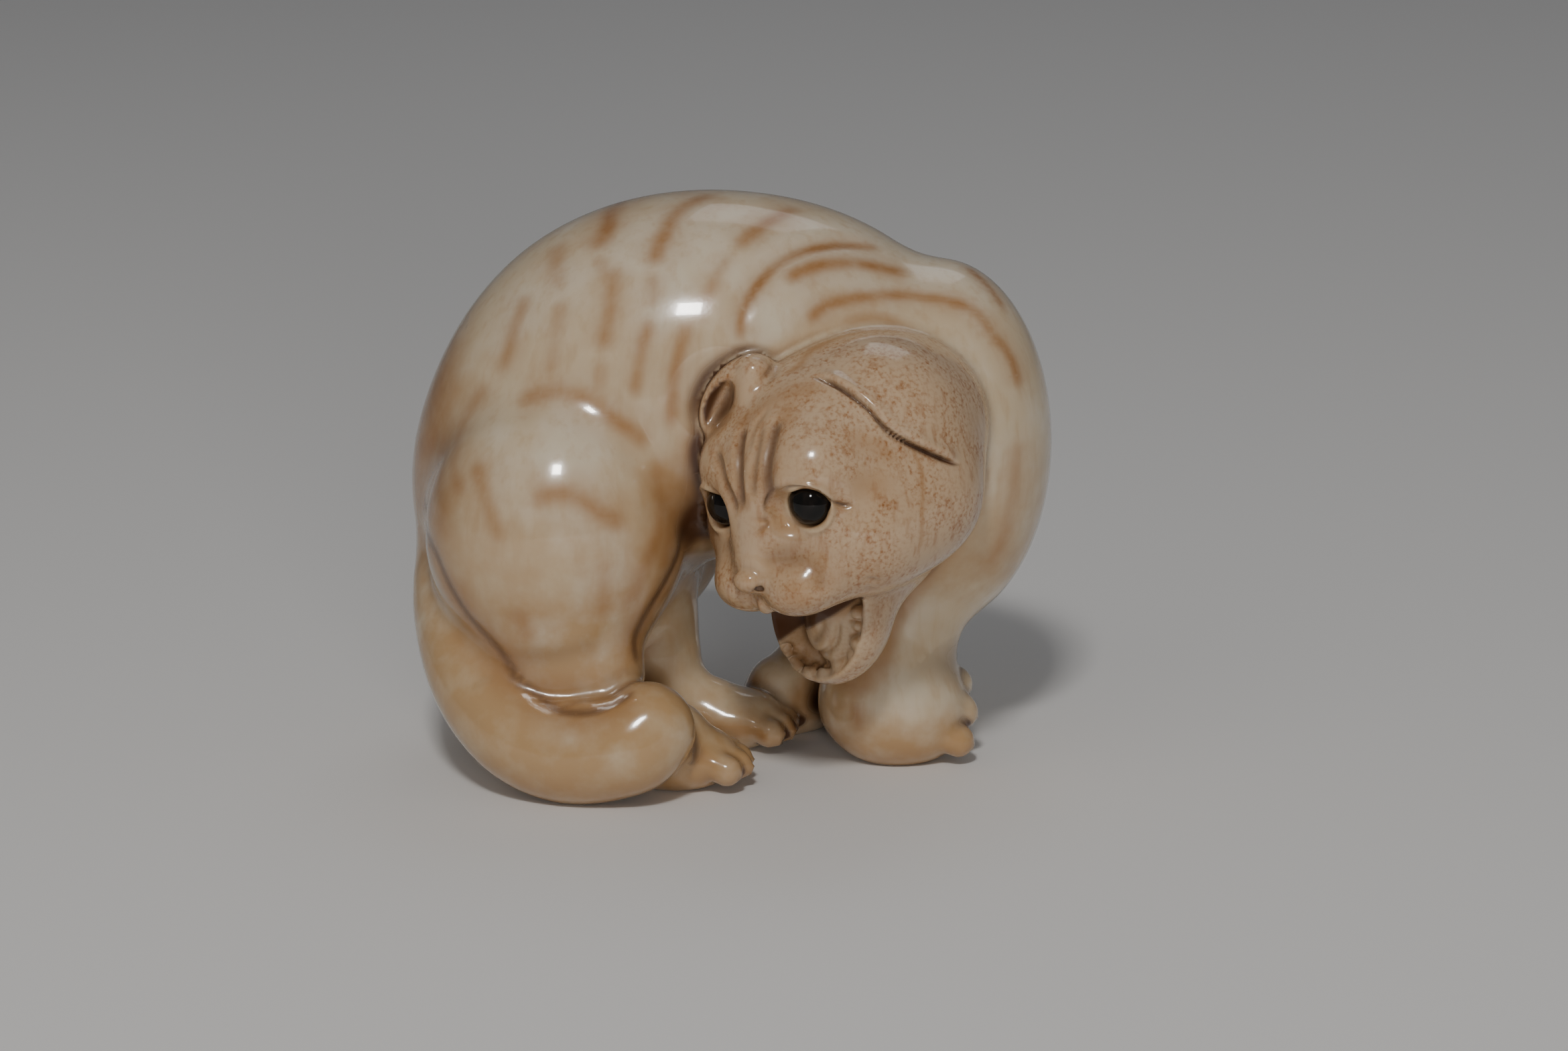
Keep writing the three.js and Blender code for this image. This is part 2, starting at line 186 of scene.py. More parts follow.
def strung(balls, samples):
    """Balls strung on a smooth curve and faired into one another."""
    ball = smooth_curve(balls)
    steps = np.linspace(0, len(balls) - 1, samples + 1).astype(np.float32)
    string = ball(steps)

    def form(p):
        d = np.stack([np.sqrt(((p - b[:3]) ** 2).sum(1)) - b[3] for b in string], 1)
        i = np.clip(d.argmin(1), 1, samples - 1)
        rows = np.arange(len(p))
        low, mid, high = d[rows, i - 1], d[rows, i], d[rows, i + 1]
        bend = np.maximum(high - 2 * mid + low, 1e-5)
        t = steps[i] + np.clip((low - high) / (2 * bend), -1, 1) * steps[1]
        nearest = ball(np.clip(t, 0, len(balls) - 1))
        return np.sqrt(((p - nearest[:, :3]) ** 2).sum(1)) - nearest[:, 3]
    return form


def both_sides(form):
    return lambda p: form(np.abs(p) * (1, 0, 0) + p * (0, 1, 1))


def faired(a, b, soft):
    h = np.maximum(soft - np.abs(a - b), 0) / soft
    return np.minimum(a, b) - h * h * soft / 4


def join(soft, *forms):
    def form(p):
        d = forms[0](p)
        for other in forms[1:]:
            d = faired(d, other(p), soft)
        return d
    return form


def cut(soft, form, tool):
    return lambda p: -faired(-form(p), tool(p), soft)


def within(reach, at, form):
    """The form near a place; farther away than reach it is only known to be some way off."""
    at = np.float32(at)

    def near(p):
        d = np.full(len(p), 4, np.float32)
        rows = np.nonzero(((p - at) ** 2).sum(1) < reach * reach)[0]
        d[rows] = form(p[rows])
        return d
    return near


def ear_flap():
    """The near ear, a flap laid back over the head, with its free edge a little proud."""
    dome = egg(*EAR_DOME)
    heights, edges = zip(*EAR_EDGE)
    return lambda p: -faired(-dome(p), np.interp(p[:, 2], heights, edges) - p[:, 1], 0.8)


def muzzle():
    bridge = limb((0, 5.6, 0.9), (0, 8.1, -2.9), 2.5, 1.9)
    root = egg((0, 5.2, -1.4), (3.4, 3.4, 3.6))
    pads = both_sides(egg((1.9, 7.1, -4.8), (2.9, 3.1, 2.2)))
    return join(1.0, join(1.2, bridge, root), pads)


def open_mouth(skull):
    gape = turned("X", GAPE)
    jaw = join(2, egg((-1, 2.9, -9.4), (4.5, 3.3, 5.3), gape), egg((0, -1, -6.5), (5, 4.5, 4.5)))
    hollow = egg((-0.95, 5.9, -8.5), (4.3, 3.4, 5.1), gape)
    tongue = egg((-0.3, 3.5, -9.4), (2.3, 1.6, 3.4), gape)

    def mouth(p):
        return np.maximum(hollow(p), p[:, 2] + 6.2 - 0.05 * p[:, 0] ** 2)
    return join(0.2, cut(0.3, join(1.2, skull, jaw), mouth), tongue)


def head():
    """In the head's own axes: +X to the tiger's left, +Y forward along the nose, +Z up."""
    form = join(2, egg((0, -0.4, 0.2), (7, 8.2, 6.3)), egg((1.2, -3.8, -0.8), (6.6, 7.4, 6.4)))
    cheeks = both_sides(egg((3.6, 1.8, -3.4), (4.6, 5.6, 4.8)))
    near_jowl = egg((4.4, -1.6, -3.6), (4.4, 4.6, 4.6))
    brows = both_sides(egg((2.9, 4.6, 1.6), (2.6, 2.6, 2.4)))
    form = join(2, form, cheeks)
    form = join(1.8, form, near_jowl, brows)
    form = join(0.5, form, ear_flap())
    form = join(1.8, form, muzzle())
    form = open_mouth(form)
    form = join(0.4, form, egg((0, 9.5, -3.7), (1.3, 0.9, 0.85)), egg((0, 9.2, -5.5), (0.7, 0.7, 0.8)))
    for x, y, z in EYES.values():
        form = cut(0.5, form, egg((x, y + 1.85, z + 0.1), (1.9, 1.7, 1.7)))
    return form


def far_ear_cup():
    return egg((-0.7, -10.5, 25.7), (1, 1.6, 2.1), turned("Y", 25))


def far_ear():
    shell = egg((0.7, -8.7, 26), (2.1, 1.5, 3.2), turned("Y", 38))
    lobe = limb((1.6, -9.3, 27.7), (1.3, -10.2, 25.4), 1.15, 0.9)
    return join(0.3, cut(0.2, shell, far_ear_cup()), lobe)


def head_axes():
    """Columns: the head's left, forward and up."""
    level = Vector((math.cos(HEAD_YAW), -math.sin(HEAD_YAW), 0))
    forward = Vector((-math.sin(HEAD_YAW) * math.cos(HEAD_PITCH),
                      -math.cos(HEAD_YAW) * math.cos(HEAD_PITCH), -math.sin(HEAD_PITCH)))
    upright = forward.cross(level)
    left = level * math.cos(HEAD_ROLL) + upright * math.sin(HEAD_ROLL)
    up = upright * math.cos(HEAD_ROLL) - level * math.sin(HEAD_ROLL)
    return np.float32([left, forward, up]).T


HEAD_AXES = head_axes()


def in_head(p):
    return (p - np.float32(HEAD_AT)) @ HEAD_AXES


def trunk():
    spine = strung(SPINE, 16)
    middle = SPINE[2][1]

    def barrel(p):
        flat = p.copy()
        flat[:, 1] = middle + (p[:, 1] - middle) * SPINE_FLATTEN
        return spine(flat)
    far_thigh = egg((-9, 8, 15), (9, 6, 9.5))
    far_shoulder = egg((11.5, 8, 19), (7, 6, 11))
    near_thigh = join(2, egg((-11, -4.4, 16.8), (8.5, 8.4, 9.6), turned("Y", 14)),
                      limb((-10.6, -5.2, 14), (-10.7, -6.4, 10.2), 6.2, 5))
    near_shoulder = join(2.5, egg((13.5, 1.6, 20.8), (7.5, 8.4, 12.1)),
                         egg((7.2, 1, 24.1), (8.6, 8.2, 9)))
    form = join(1.8, barrel, far_thigh, far_shoulder)
    form = join(1.4, join(1.6, form, near_thigh), near_shoulder)
    return cut(1.2, form, egg((-0.4, -11.2, 26.4), (4, 3.2, 4.6)))   # hollowed behind the far ear


def legs():
    near_hind = join(1.2, limb((-11.8, -7.5, 7.8), (-8.5, -8, 7.9), 3.4, 3.1),
                     limb((-12.4, -7, 4), (-4, -8, 3.2), 3.5, 2.9))
    far_hind = join(1.5, limb((-7.7, 5, 15), (-5.6, 1.8, 6.6), 5.3, 3.6),
                    limb((-7, 2, 3.6), (-1.6, 1, 2.6), 3.3, 2.5))
    near_fore = join(3, limb((12.1, 0.5, 12), (10.1, -1.2, 6.2), 4.4, 3.5),
                     egg((10.8, -1.6, 3.6), (4.8, 4, 3.5)))
    far_fore = join(1.2, limb((11, 8, 14), (7, 6.5, 5), 5.2, 3.4),
                    limb((7, 6.5, 4), (3.6, 4.8, 2.8), 3.4, 2.8))
    return near_hind, far_hind, near_fore, far_fore


def paw(at, heading, size, lift):
    turn = turned("Z", heading)

    def place(*local):
        return np.float32(at) + turn @ np.float32(local)
    toes = []
    for across in (-1, -1 / 3, 1 / 3, 1):
        reach = size * (1.2 - 0.22 * across * across)
        rise = lift * (across + 1) / 2
        knuckle = place(reach - size * 0.8, across * size * 0.5, rise + size * 0.18)
        tip = place(reach, across * size * 0.72, rise - size * 0.12)
        toes.append(limb(knuckle, tip, size * 0.27, size * 0.33))
    return join(0.35, egg(at, (size * 1.25, size, size * 0.72), turn), *toes)


def slope(p, form, span=0.04):
    """The direction in which the distance grows, from four nearby places."""
    corners = np.float32([(1, -1, -1), (-1, -1, 1), (-1, 1, -1), (1, 1, 1)])
    g = sum(c * form(p + c * span)[:, None] for c in corners)
    return g / (4 * span)


def plug(at, outward, radius, depth):
    at, outward = np.float32(at), np.float32(outward) / np.linalg.norm(outward)

    def form(p):
        q = p - at
        a = q @ outward
        return np.maximum(np.sqrt(np.maximum((q * q).sum(1) - a * a, 0)) - radius, -a - depth)
    return form


def outward(eye):
    return math.copysign(0.42, eye[0]), 0.9, 0.1


# the fine forms of the mouth and feet, in the head's axes and in the carving's
TEETH = (((-3.6, 5.6, -11.6), 0.36), ((-2.8, 5.9, -12.3), 0.40), ((-1.8, 5.9, -12.75), 0.46),
         ((-0.8, 5.7, -12.9), 0.44), ((0.35, 5.2, -12.45), 0.66), ((1.5, 4.9, -11.8), 0.42),
         ((2.0, 4.8, -11.0), 0.50), ((2.1, 4.3, -10.0), 0.42), ((2.2, 4.1, -9.2), 0.46))
NOSE = (0.0, 10.15, -3.45), (0.95, 0.75, 0.72)
NOSTRILS = ((-1.35, 10.15, -3.75), (0.85, 10.3, -4.0))
CLAW_RADIUS = 0.34
CLAW_LENGTH = 0.75


def fine_head():
    """The head with its teeth, nostrils and the sockets for the eyes."""
    teeth = join(0.05, *(egg(at, (size, size, size)) for at, size in TEETH))
    form = join(0.4, head(), within(6, TEETH[3][0], teeth))
    form = join(0.3, form, within(4, NOSE[0], egg(*NOSE)))
    for at in NOSTRILS:
        form = cut(0.15, form, within(3, at, egg(at, (0.28, 0.42, 0.18))))
    for eye in EYES.values():
        form = cut(0.12, form, within(4, eye, plug(eye, outward(eye), EYE_RADIUS + 0.06, 1.6)))
    return form


def claws():
    forms = []
    for one in PAWS:
        turn = turned("Z", one["heading"])
        size = one["size"]
        for across in (-1, -1 / 3, 1 / 3, 1):
            reach = size * (1.2 - 0.22 * across * across)
            rise = one["lift"] * (across + 1) / 2
            root = (reach + size * 0.1, across * size * 0.74, rise - size * 0.1)
            tip = (reach + size * 0.1 + CLAW_LENGTH, across * size * 0.8, rise - size * 0.26)
            forms.append(limb(*(np.float32(one["at"]) + turn @ np.float32(end) for end in (root, tip)),
                              CLAW_RADIUS, CLAW_RADIUS * 0.5))
    return join(0.02, *forms)


def feet():
    """The paws with their claws, each worked out only near its own foot."""
    nails = claws()
    return [within(2 * one["size"] + one["lift"] + 2, one["at"], join(0.2, paw(**one), nails))
            for one in PAWS]


def fine_tiger():
    near_hind, *others = legs()
    body = join(0.8, join(0.9, trunk(), near_hind), *others)
    body = join(1.0, join(0.6, body, *feet()), strung(TAIL, 24))
    skull, ear = fine_head(), far_ear()

    def whole_head(p):
        return faired(skull(in_head(p)), ear(p), 0.5)
    near_head = within(19, HEAD_AT, whole_head)

    def form(p):
        return np.maximum(faired(body(p), near_head(p), 0.4), STAND[2] - p[:, 2])
    return form, body, near_head


tiger_form, body_form, head_form = fine_tiger()

# Scored lines: points, half width and depth in mm. The first list is in the head's own axes.
# Most points here and in the stains below were measured on the model's skin by a scratch
# program and rounded to 0.1 mm; they are not worked out from the forms.
HEAD_CUTS = {
    "brow_left": (((1.4, 4.4, 5.2), (1.7, 5.7, 4.5), (1.9, 6.8, 3.7), (2.0, 7.5, 2.7), (2.1, 8.0, 1.3),
                   (1.8, 8.2, 0.3)), 0.50, 0.30),
    "brow_middle": (((-1.1, 5.0, 4.9), (-0.7, 6.3, 4.2), (-0.3, 7.3, 3.4), (-0.1, 8.0, 2.4),
                     (0.0, 8.5, 1.4), (0.1, 8.8, 0.6)), 0.38, 0.32),
    "brow_right": (((-3.0, 6.3, 3.8), (-2.1, 7.2, 3.2), (-1.7, 7.7, 2.6), (-1.3, 8.1, 2.0),
                    (-0.7, 8.5, 1.2), (-0.5, 8.9, 0.2)), 0.34, 0.28),
    "brow_between": (((0.4, 4.9, 5.0), (0.8, 6.2, 4.2), (1.0, 7.2, 3.3), (1.0, 7.9, 2.2), (0.9, 8.3, 1.2)),
                     0.28, 0.18),
    "brow_top": (((0.5, 3.9, 5.5), (0.0, 5.4, 4.7), (0.4, 6.9, 3.7)), 0.22, 0.12),
    "near_lid": (((2.7, 7.7, 1.0), (3.3, 7.4, 1.7), (4.0, 7.1, 1.8), (4.7, 6.8, 1.5), (5.1, 6.4, 0.8),
                  (5.4, 6.1, 0.2), (5.8, 5.7, -0.2), (6.3, 5.1, -0.4)), 0.14, 0.30),
    "nose_under": (((-1.3, 10.0, -3.5), (-0.9, 10.2, -4.05), (-0.1, 10.4, -4.2), (0.7, 10.3, -4.05),
                    (1.05, 10.0, -3.5)), 0.14, 0.22),
    "nose_fold": (((0.7, 8.8, 0.3), (1.8, 8.3, -0.1), (1.1, 8.9, -0.6), (0.7, 9.2, -0.9)), 0.14, 0.10),
    "pad": (((0.8, 9.7, -2.3), (1.6, 9.1, -2.3), (3.4, 8.3, -2.9), (4.3, 8.3, -3.8), (4.4, 8.6, -5.1)),
            0.55, 0.10),
    "corner_upper": (((6.0, 6.3, -4.9), (6.1, 5.9, -5.3), (6.4, 5.1, -6.0)), 0.16, 0.14),
    "corner_lower": (((5.6, 6.1, -5.6), (5.6, 5.5, -6.4), (5.9, 4.8, -6.9)), 0.16, 0.12),
    "lip_middle": (((-0.3, 10.1, -4.4), (-0.3, 10.0, -4.9), (-0.3, 9.8, -6.0)), 0.13, 0.16),
    "tongue": (((0.4, 4.9, -9.2), (-0.4, 5.5, -10.1), (-1.5, 5.7, -10.9)), 0.35, 0.16),
    "tongue_edge": (((-3.4, 5.0, -11.3), (-2.3, 5.5, -12.0), (-0.8, 5.7, -11.7), (0.6, 5.5, -10.9),
                     (1.05, 5.2, -9.9), (1.15, 4.9, -9.2)), 0.26, 0.30),
}
NEAR_EAR = (((1.9, 1.2, 6.2), (2.6, 1.1, 6.0), (4.0, 1.2, 5.6), (6.0, 1.4, 4.4), (7.2, 1.4, 2.7),
             (7.7, 0.3, 1.0), (8.4, -1.4, -1.0), (8.5, -2.3, -1.8)), 0.15, 0.48)
BODY_CUTS = {
    "scruff": (((0.7, -8.0, 29.3), (1.0, -7.1, 31.4), (2.5, -5.5, 33.4), (4.5, -3.8, 34.4),
                (6.9, -2.2, 34.6), (9.8, -0.1, 33.9)), 0.7, 0.16),
    "shin": (((-14.5, -9.6, 9.9), (-10.6, -11.8, 10.0), (-7.7, -12.0, 10.5), (-5.7, -11.3, 10.6)),
             0.9, 0.16),
    "tail_end": (((-8.2, -14.6, 5.7), (-7.0, -14.6, 6.2), (-6.0, -14.6, 6.4)), 0.5, 0.10),
}

# The creases where the tail lies against the thigh and where the thigh passes the far leg.
CREASE_WIDTH = 0.6                        # mm, half the width as in the lists above
CREASES = (
    ((-20.0, -1.6, 17.7), (-18.9, -7.6, 16.1), (-17.7, -9.1, 13.9), (-16.4, -9.6, 11.8),
     (-14.8, -10.2, 10.2), (-13.4, -10.7, 8.4), (-12.1, -11.1, 7.4), (-10.6, -12.4, 6.8),
     (-8.5, -13.1, 6.9), (-7.0, -12.9, 7.5), (-5.5, -12.7, 8.1)),
    ((-2.2, -7.0, 17.9), (-3.0, -7.2, 16.2), (-4.0, -8.4, 14.0), (-5.2, -9.0, 12.0),
     (-5.9, -9.0, 10.2), (-5.8, -9.3, 8.5)),
)


def in_carving(head_line):
    return np.float32(head_line) @ HEAD_AXES.T + np.float32(HEAD_AT)


def along_line(p, n, line, reach):
    """Which points lie near a line on the skin, how far off it, how far along it, and which side."""
    curve = smooth_curve(line)
    joints = curve(np.linspace(0, len(line) - 1, 6 * (len(line) - 1) + 1, dtype=np.float32))
    rows = np.nonzero(((p > joints.min(0) - reach) & (p < joints.max(0) + reach)).all(1))[0]
    q, m = p[rows], n[rows]
    off = np.full(len(rows), 1e6, np.float32)
    along = np.zeros(len(rows), np.float32)
    side = np.zeros(len(rows), np.float32)
    start = 0.0
    for a, b in zip(joints[:-1], joints[1:]):
        length = np.linalg.norm(b - a)
        t = (b - a) / length
        h = np.clip((q - a) @ t, 0, length)
        away = q - a - h[:, None] * t
        away -= 0.9 * (away * m).sum(1, keepdims=True) * m
        d = np.sqrt((away * away).sum(1))
        nearer = d < off
        off[nearer] = d[nearer]
        along[nearer] = start + h[nearer]
        side[nearer] = np.sign((np.cross(t, m[nearer]) * away[nearer]).sum(1))
        start += length
    return rows, off, along, start - along, side


def eased(x):
    x = np.clip(x, 0, 1)
    return x * x * (3 - 2 * x)


def scored(p, n, line, width, depth, fade=0.9):
    """How far a scored line moves each point outwards, which is less than zero in the line."""
    move = np.zeros(len(p), np.float32)
    rows, off, along, left, _ = along_line(p, n, line, 3 * width)
    move[rows] = -depth * np.exp(-(off / width) ** 2) * eased(np.minimum(along, left) / fade)
    return move


# The block is the frame's solid, closed up, given an even skin and cut back to the forms.
bpy.ops.object.select_all(action="DESELECT")
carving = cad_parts["tiger"].copy()
carving.data = carving.data.copy()
carving.name = "carved_tiger"
carving.data.name = "carved_tiger"
carving.parent = None
bpy.context.collection.objects.link(carving)
bpy.context.view_layer.objects.active = carving
carving.select_set(True)
bpy.ops.object.mode_set(mode="EDIT")
bpy.ops.mesh.select_all(action="SELECT")
bpy.ops.mesh.remove_doubles(threshold=1e-7)
bpy.ops.object.mode_set(mode="OBJECT")
carving.data.remesh_voxel_size = SKIN_STEP * MM
carving.data.remesh_voxel_adaptivity = 0
bpy.ops.object.voxel_remesh()


def points_of(mesh):
    flat = np.empty(len(mesh.vertices) * 3, np.float32)
    mesh.vertices.foreach_get("co", flat)
    return flat.reshape(-1, 3) / MM + STAND


def set_points(mesh, points):
    mesh.vertices.foreach_set("co", ((points - STAND) * MM).ravel())
    mesh.update()


def settled(points, form, passes, reach):
    """The points moved onto the form's surface, none of them further than reach."""
    start = points.copy()
    for _ in range(passes):
        g = slope(points, form)
        points = points - (form(points) / np.maximum((g * g).sum(1), 0.1))[:, None] * g
        move = points - start
        length = np.linalg.norm(move, axis=1, keepdims=True)
        points = (start + move * np.minimum(1, reach / (length + 1e-9))).astype(np.float32)
    return points


def divide_faces(piece, chosen):
    """Splits each face in four where chosen says so of its centre."""
    bpy.ops.object.mode_set(mode="EDIT")
    bpy.ops.mesh.select_mode(type="FACE")
    bpy.ops.mesh.select_all(action="DESELECT")
    bpy.ops.object.mode_set(mode="OBJECT")
    centres = np.empty(len(piece.data.polygons) * 3, np.float32)
    piece.data.polygons.foreach_get("center", centres)
    piece.data.polygons.foreach_set("select", chosen(centres.reshape(-1, 3) / MM + STAND))
    bpy.ops.object.mode_set(mode="EDIT")
    bpy.ops.mesh.subdivide(number_cuts=1)
    bpy.ops.object.mode_set(mode="OBJECT")


def on_head(p):
    q = in_head(p)
    return (np.abs(q - (0.5, 3, -2.5)) < (9.2, 8.5, 12)).all(1) & (q[:, 1] > -4.5)


FINE_ROUND_EYE = 2.6                      # mm from an eye's centre that the skin is finest
FINE_BESIDE_LINE = 0.6                    # mm beyond a scored line's half width


def finely_cut(p):
    """The eyes, nose, mouth and toes, and a strip along each scored line of the head."""
    q = in_head(p)
    fine = (np.abs(q - (-0.8, 5.5, -9.5)) < (4.5, 3.4, 4.4)).all(1)
    fine |= (np.abs(q - (-0.2, 9.5, -4.4)) < (2.2, 2, 1.6)).all(1)
    for eye in EYES.values():
        fine |= ((q - np.float32(eye)) ** 2).sum(1) < FINE_ROUND_EYE ** 2
    still = np.zeros_like(p)
    for line, width, _ in (*HEAD_CUTS.values(), NEAR_EAR):
        rows, off, *_ = along_line(p, still, in_carving(line), 1.2)
        fine[rows[off < FINE_BESIDE_LINE + width]] = True
    return fine


def on_toes(p):
    near = np.zeros(len(p), bool)
    for one in PAWS:
        front = np.float32(one["at"]) + turned("Z", one["heading"]) @ np.float32((one["size"], 0, 0))
        near |= ((p - front) ** 2).sum(1) < (1.25 * one["size"] + one["lift"] / 2) ** 2
    return near


def evened(piece, rounds):
    """Rounds of smoothing, which space the points evenly and open up folded faces."""
    smooth = piece.modifiers.new("evened", "SMOOTH")
    smooth.factor = 0.5
    smooth.iterations = rounds
    bpy.ops.object.modifier_apply(modifier="evened")


set_points(carving.data, settled(points_of(carving.data), tiger_form, 3, 0.8))
evened(carving, 2)
set_points(carving.data, settled(points_of(carving.data), tiger_form, 2, 0.5))
divide_faces(carving, lambda p: on_head(p) | on_toes(p))
evened(carving, 1)
set_points(carving.data, settled(points_of(carving.data), tiger_form, 2, 0.35))
divide_faces(carving, finely_cut)
evened(carving, 1)
skin = settled(points_of(carving.data), tiger_form, 3, 0.2)
normals = slope(skin, tiger_form)
normals /= np.linalg.norm(normals, axis=1, keepdims=True) + 1e-9

moves = np.zeros(len(skin), np.float32)
for line, width, depth in HEAD_CUTS.values():
    moves += scored(skin, normals, in_carving(line), width, depth)
for line, width, depth in BODY_CUTS.values():
    moves += scored(skin, normals, line, width, depth, 3)
for line in CREASES:
    moves += scored(skin, normals, line, CREASE_WIDTH, 0.1, 2)

# the folded ear: a slit under its free edge, and the edge itself rolled up beside the slit
ROLL_HEIGHT = 0.24
ROLL_AT = 0.5                             # mm from the slit to the top of the rolled edge
line, width, depth = NEAR_EAR
ear_line = in_carving(line)
flap_out = slope(in_head(skin), egg(*EAR_DOME)) @ HEAD_AXES.T
flap_out /= np.linalg.norm(flap_out, axis=1, keepdims=True)
rows, off, along, left, side = along_line(skin, flap_out, ear_line, 2.5)
slit = -depth * np.exp(-(off / width) ** 2)
roll = ROLL_HEIGHT * np.exp(-((off - ROLL_AT) / 0.4) ** 2) * (side < 0)
ear_moves = np.zeros(len(skin), np.float32)
ear_moves[rows] = (slit + roll) * eased(np.minimum(along, left) / 1.6)

# a narrow raised rim round each eye
LID_HEIGHT = 0.26
LID_GAP = 0.16                            # mm from the eye's edge to the top of its rim
LID_WIDTH = 0.20
lid = np.zeros(len(skin), np.float32)
for eye in EYES.values():
    q = in_head(skin) - np.float32(eye)
    axis = np.float32(outward(eye)) / np.linalg.norm(outward(eye))
    ahead = q @ axis
    round_eye = np.sqrt(np.maximum((q * q).sum(1) - ahead ** 2, 0))
    ring = np.exp(-((round_eye - EYE_RADIUS - LID_GAP) / LID_WIDTH) ** 2)
    ring *= (ahead > -0.5) * (ahead < 3)
    moves += LID_HEIGHT * ring
    lid = np.maximum(lid, ring)

skin = (skin + moves[:, None] * normals + ear_moves[:, None] * flap_out).astype(np.float32)
skin[:, 2] = np.maximum(skin[:, 2], STAND[2])

# the copy is kept within the frame's box
low, high = (np.float32(corner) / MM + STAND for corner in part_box("tiger"))
middle = (low + high) / 2
middle[2] = STAND[2]
room = np.minimum((high - middle) / np.abs(skin - middle).max(0), 1)
skin = middle + (skin - middle) * np.minimum(room, 1)
set_points(carving.data, skin)

bpy.ops.object.select_all(action="DESELECT")
carving.select_set(True)
bpy.ops.object.shade_smooth()
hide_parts("tiger")
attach(carving, "root")

# Stains brushed into the ivory: points, half width in mm and strength. They cross the back, so
# the ones on the body are repeated on the far side.
STRIPES = (
    (((-7.2, 2.7, 36.4), (-7.7, -1.5, 35.6), (-8.5, -3.5, 34.2)), 1.0, 1),
    (((-1.0, 1.3, 37.2), (-3.1, -1.3, 36.6), (-4.0, -3.2, 35.6), (-4.8, -5.5, 33.6)), 0.8, 1),
    (((4.5, 0.7, 36.4), (2.5, -2.1, 36.0), (0.4, -4.6, 34.7)), 0.7, 1),
    (((-10.8, -0.6, 34.6), (-11.0, -3.1, 33.3), (-10.6, -4.9, 31.8)), 0.9, 0.63),
    (((-7.1, -4.6, 33.8), (-7.4, -6.3, 31.8), (-7.9, -7.8, 28.6)), 0.7, 0.84),
    (((-4.8, -7.3, 31.1), (-5.5, -8.2, 28.6), (-5.9, -8.7, 25.8)), 0.6, 0.84),
    (((-2.4, -7.6, 30.9), (-3.3, -8.5, 27.8), (-3.6, -8.8, 24.0)), 0.6, 0.91),
    (((-0.6, -5.9, 33.5), (-1.4, -7.0, 31.9), (-1.9, -7.8, 30.3)), 0.6, 0.7),
    (((3.3, -5.7, 32.8), (5.1, -4.5, 33.5), (8.3, -2.7, 33.4), (11.6, -1.3, 32.4)), 0.7, 1),
    (BODY_CUTS["scruff"][0], 0.5, 1),
    (((4.8, -6.7, 30.4), (6.5, -5.6, 31.4), (9.2, -4.0, 31.5), (12.1, -3.0, 31.3), (15.4, -2.9, 30.5),
      (17.0, -3.5, 28.6)), 0.6, 1),
    (((6.8, -6.1, 30.2), (9.7, -4.8, 30.2), (12.6, -6.0, 29.2), (14.9, -7.8, 27.1), (16.3, -7.9, 23.2),
      (16.0, -10.0, 20.8)), 0.6, 0.63),
    (((16.4, -3.4, 29.3), (18.0, -3.3, 27.3), (18.6, -3.7, 25.3)), 0.6, 1),
    (((18.5, -4.6, 22.5), (17.9, -4.8, 17.7), (16.8, -4.2, 13.9)), 0.7, 0.56),
    (((15.0, 1.0, 33.0), (17.0, -0.4, 31.8), (18.3, -1.5, 30.5)), 0.6, 0.98),
    (((-12.8, -3.3, 31.8), (-13.9, -5.0, 28.6), (-14.6, -5.4, 26.6)), 0.8, 0.7),
    (((-15.2, -5.1, 26.2), (-16.9, -5.0, 23.8), (-17.5, -7.4, 21.6), (-16.6, -10.0, 19.9)), 0.9, 0.7),
    (((-13.5, -7.1, 25.5), (-10.0, -8.0, 26.2), (-7.1, -8.8, 24.6), (-4.8, -8.8, 22.9)), 0.8, 0.84),
    (((-12.4, -12.2, 20.0), (-10.4, -12.1, 20.7), (-8.1, -12.0, 19.5), (-6.3, -11.4, 18.4)), 0.8, 0.84),
    (((-15.9, -9.0, 22.3), (-15.1, -11.2, 19.9), (-14.2, -12.2, 17.4)), 0.8, 0.77),
    (((-13.4, -12.0, 13.5), (-12.3, -11.4, 10.7)), 0.8, 0.7),
    (((-4.5, -8.8, 22.3), (-4.1, -9.3, 18.8), (-5.1, -10.8, 15.0), (-5.9, -11.3, 12.2)), 0.9, 0.77),
    (((-7.6, -12.3, 16.6), (-7.6, -12.0, 12.1)), 0.7, 0.56),
    (((-20.5, -0.2, 17.8), (-20.2, -0.2, 15.3), (-19.0, -6.5, 13.9)), 0.7, 0.7),
    (((8.1, -4.9, 5.5), (8.4, -5.2, 3.1)), 0.5, 0.84),
    (((-8.5, -3.5, 34.2), (-7.6, -5.2, 33.0), (-7.2, -6.3, 31.8)), 0.7, 0.6),
    (((-7.9, -7.8, 28.6), (-8.3, -8.3, 26.6), (-8.9, -8.2, 25.0)), 0.7, 0.5),
    (((-4.8, -5.5, 33.6), (-4.7, -6.6, 32.3), (-4.8, -7.3, 31.1)), 0.6, 0.6),
    (((0.4, -4.6, 34.7), (-0.6, -5.9, 33.5), (-1.7, -7.0, 32.2), (-2.4, -7.6, 30.9)), 0.5, 0.5),
    (((-10.6, -4.9, 31.8), (-10.9, -6.6, 29.0), (-11.4, -7.3, 26.8)), 0.7, 0.5),
)
SPINE_SIDE = 2.0                          # the middle of the back, in mm
